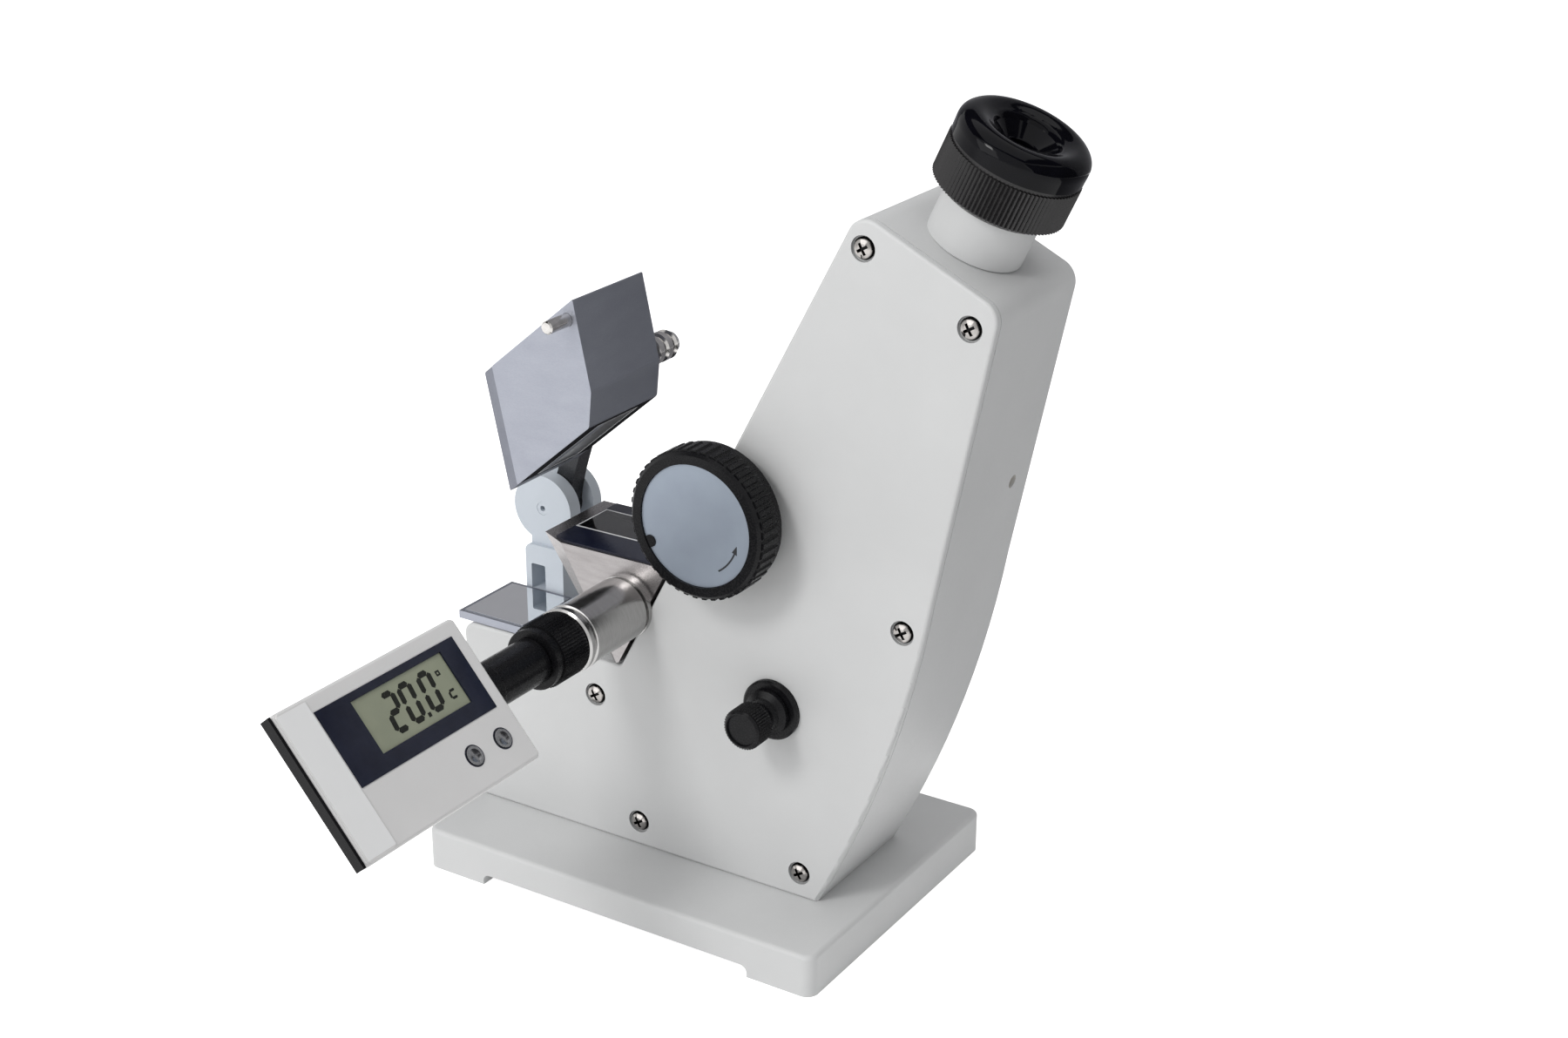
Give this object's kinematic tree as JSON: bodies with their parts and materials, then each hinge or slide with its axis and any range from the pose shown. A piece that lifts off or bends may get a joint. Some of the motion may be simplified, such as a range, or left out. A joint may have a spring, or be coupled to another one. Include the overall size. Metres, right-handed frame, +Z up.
{
  "type": "abbe refractometer",
  "caption": "Bench refractometer with a leaning telescope body, a hinged prism pair, a lock knob, an index knob and a digital thermometer.",
  "frame": {"origin": "on the bench plane, under the middle of the whole outline at rest", "axes": "+X from the prisms towards the eyepiece, +Y away from the side with the lock knob, +Z up"},
  "size_m": [0.1852, 0.2072, 0.2402],
  "materials": {
    "body_paint": "fine textured light grey enamel",
    "plated_steel": "bright nickel plate",
    "satin_metal": "satin machined",
    "lid_metal": "satin grey plate",
    "dark_metal": "black oxide",
    "brass": "turned",
    "black_plastic": "moulded, satin",
    "black_gloss": "polished",
    "disc_grey": "satin anodised",
    "optical_glass": "polished",
    "frosted_glass": "ground",
    "mirror_glass": "silvered",
    "case_plastic": "fine spark texture",
    "bezel_plastic": "dark window frame",
    "lcd": "liquid crystal panel"
  },
  "bodies": {
    "stand": {"base_plate": "body_paint", "base_screws": "dark_metal", "shell_casting": "body_paint", "cover_plate": "body_paint", "cover_screws": "plated_steel", "eyepiece_collar": "body_paint", "telescope_tube": "dark_metal", "objective_lens": "optical_glass", "reticle_disc": "optical_glass", "inner_bearings": "satin_metal", "index_bush": "black_plastic", "scale_condenser": "optical_glass", "prism_seat": "satin_metal", "refracting_prism": "optical_glass", "prism_frame": "bezel_plastic", "hinge_post": "disc_grey", "hinge_pin": "plated_steel", "lower_hoses": "plated_steel", "flap_fittings": "plated_steel", "thermometer_seat": "plated_steel"},
    "adjuster": {"adjusting_screw": "brass"},
    "lens_carrier": {"lens_tube": "dark_metal", "eyepiece_lenses": "optical_glass"},
    "eyepiece": {"diopter_ring": "black_plastic", "eye_cup": "black_gloss"},
    "compensator_low": {"lower_cell": "brass", "lower_dispersion_prism": "optical_glass"},
    "compensator_high": {"upper_cell": "brass", "upper_dispersion_prism": "optical_glass"},
    "dispersion_control": {"dispersion_shaft": "plated_steel", "dispersion_knob": "black_plastic", "dispersion_scale": "satin_metal"},
    "index_control": {"index_knob": "black_plastic", "index_shaft": "plated_steel"},
    "idler": {"idler_gear": "brass"},
    "mirror_carriage": {"sector_gear": "brass", "mirror_shaft": "plated_steel", "swing_mirror": "mirror_glass", "glass_scale": "optical_glass"},
    "upper_prism_unit": {"hinge_arm": "dark_metal", "prism_housing": "lid_metal", "window_plate": "lid_metal", "frosted_window": "frosted_glass", "incident_prism": "optical_glass", "lock_pin": "plated_steel", "upper_hoses": "plated_steel"},
    "reflector": {"reflector_frame": "lid_metal", "reflector_mirror": "mirror_glass"},
    "shade": {"shade_plate": "satin_metal"},
    "lock_control": {"lock_knob": "black_plastic", "lock_disc": "disc_grey"},
    "gland_nut": {"thermometer_nut": "black_plastic"},
    "thermometer": {"thermometer_stem": "black_plastic", "case_front": "case_plastic", "case_back": "case_plastic", "case_end_cap": "black_plastic", "display_bezel": "bezel_plastic", "display_glass": "lcd"},
    "near_button": {"display_button_1": "plated_steel"},
    "far_button": {"display_button_2": "plated_steel"}
  },
  "joints": [
    {"name": "lid_hinge", "type": "hinge", "parent": "stand", "child": "upper_prism_unit", "pos_m": [-0.08143, 0.06515, 0.0977], "axis": [0, -1, 0], "range_deg": [-40.7, 50]},
    {"name": "lock_turn", "type": "hinge", "parent": "stand", "child": "lock_control", "pos_m": [0.00307, 0.02515, 0.1255], "axis": [0, -1, 0], "range_deg": [0, 60]},
    {"name": "index_turn", "type": "hinge", "parent": "stand", "child": "index_control", "pos_m": [0.01817, 0.02515, 0.0696], "axis": [0, -1, 0], "range_deg": [-360, 360]},
    {"name": "idler_turn", "type": "hinge", "parent": "stand", "child": "idler", "pos_m": [0.0254, 0.03915, 0.05646], "axis": [0, -1, 0], "range_deg": [-90, 90]},
    {"name": "mirror_swing", "type": "hinge", "parent": "stand", "child": "mirror_carriage", "pos_m": [-0.00697, 0.05315, 0.05004], "axis": [0, -1, 0], "range_deg": [-9, 9]},
    {"name": "dispersion_turn", "type": "hinge", "parent": "stand", "child": "dispersion_control", "pos_m": [0.02262, 0.07515, 0.11437], "axis": [0, 1, 0], "continuous": true},
    {"name": "compensator_low_turn", "type": "hinge", "parent": "stand", "child": "compensator_low", "pos_m": [0.02262, 0.05375, 0.11437], "axis": [0.4179, 0, 0.9085], "continuous": true},
    {"name": "compensator_high_turn", "type": "hinge", "parent": "stand", "child": "compensator_high", "pos_m": [0.02262, 0.05375, 0.11437], "axis": [0.4179, 0, 0.9085], "continuous": true},
    {"name": "focus_travel", "type": "slide", "parent": "stand", "child": "lens_carrier", "axis": [0.4179, 0, 0.9085], "range_m": [-0.001, 0.001]},
    {"name": "diopter_turn", "type": "hinge", "parent": "lens_carrier", "child": "eyepiece", "pos_m": [0.06357, 0.05375, 0.2034], "axis": [0.4179, 0, 0.9085], "range_deg": [-180, 180]},
    {"name": "reflector_tilt", "type": "hinge", "parent": "stand", "child": "reflector", "pos_m": [-0.06533, 0.04515, 0.0719], "axis": [0, 1, 0], "range_deg": [0, 55]},
    {"name": "shade_swing", "type": "hinge", "parent": "stand", "child": "shade", "pos_m": [-0.05281, 0.0409, 0.09178], "axis": [-0.7795, 0, -0.6264], "range_deg": [0, 90]},
    {"name": "gland_turn", "type": "hinge", "parent": "stand", "child": "gland_nut", "pos_m": [-0.03103, -0.00485, 0.0887], "axis": [0, -1, 0], "range_deg": [-180, 180]},
    {"name": "thermometer_swivel", "type": "hinge", "parent": "stand", "child": "thermometer", "pos_m": [-0.03103, -0.02485, 0.0887], "axis": [0, -1, 0], "range_deg": [-180, 180]},
    {"name": "near_button_press", "type": "slide", "parent": "thermometer", "child": "near_button", "axis": [-0.76, 0, -0.65], "range_m": [0, 0.0006], "stiffness_N_per_m": 900},
    {"name": "far_button_press", "type": "slide", "parent": "thermometer", "child": "far_button", "axis": [-0.76, 0, -0.65], "range_m": [0, 0.0006], "stiffness_N_per_m": 900},
    {"name": "zero_adjust", "type": "hinge", "parent": "stand", "child": "adjuster", "pos_m": [0.07147, 0.06535, 0.1365], "axis": [0.9816, 0, -0.191], "range_deg": [-180, 180]}
  ],
  "couplings": [
    {"joint": "idler_turn", "follows": "mirror_swing", "ratio": -10},
    {"joint": "index_turn", "follows": "mirror_swing", "ratio": 40},
    {"joint": "compensator_low_turn", "follows": "dispersion_turn", "ratio": 0.33333},
    {"joint": "compensator_high_turn", "follows": "dispersion_turn", "ratio": -0.33333},
    {"joint": "focus_travel", "follows": "diopter_turn", "m_per_rad": 0.00031831}
  ]
}
